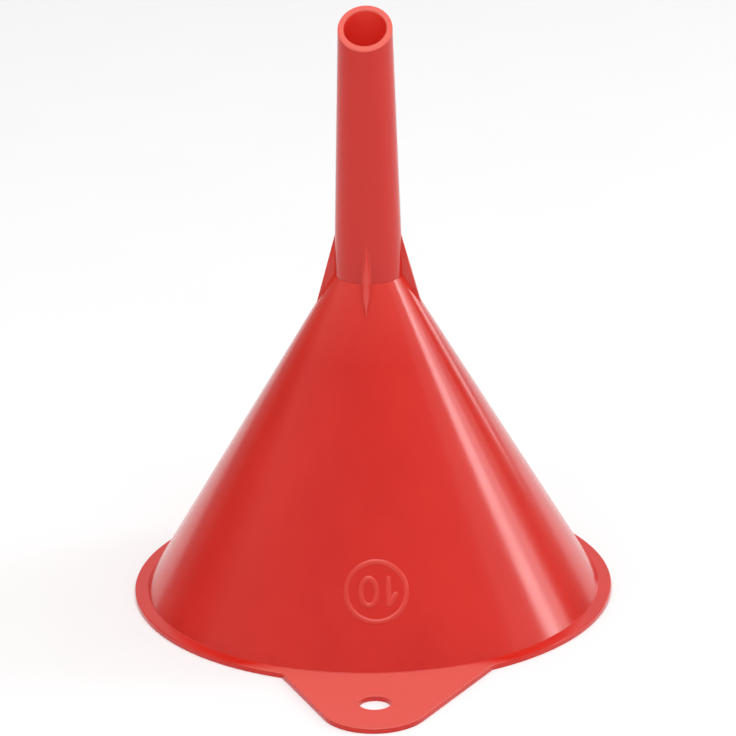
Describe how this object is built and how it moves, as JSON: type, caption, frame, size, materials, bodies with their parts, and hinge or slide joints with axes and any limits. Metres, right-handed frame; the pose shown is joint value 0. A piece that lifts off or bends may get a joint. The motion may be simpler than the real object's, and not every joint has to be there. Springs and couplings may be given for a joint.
{
  "type": "canning funnel",
  "caption": "Small moulded kitchen funnel with a conical bowl, a flat rim with a hanging tab, vent ribs at the neck and a tapered spout with a slanted tip.",
  "frame": {"origin": "centre of the mouth, in the plane of the rim's face", "axes": "+Z along the axis from the mouth to the spout's tip, -Y from the axis to the hanging hole, +X to the right seen from the tab's side"},
  "size_m": [0.1, 0.1234, 0.125],
  "materials": {
    "moulded_plastic": "glossy red polypropylene, as moulded"
  },
  "bodies": {
    "root": {"bowl_cone": "moulded_plastic", "rim_flange": "moulded_plastic", "hanging_tab": "moulded_plastic", "spout": "moulded_plastic", "vent_rib_front": "moulded_plastic", "vent_rib_right": "moulded_plastic", "vent_rib_back": "moulded_plastic", "vent_rib_left": "moulded_plastic", "size_mark_ring": "moulded_plastic", "size_mark_one": "moulded_plastic", "size_mark_zero": "moulded_plastic"}
  },
  "joints": []
}
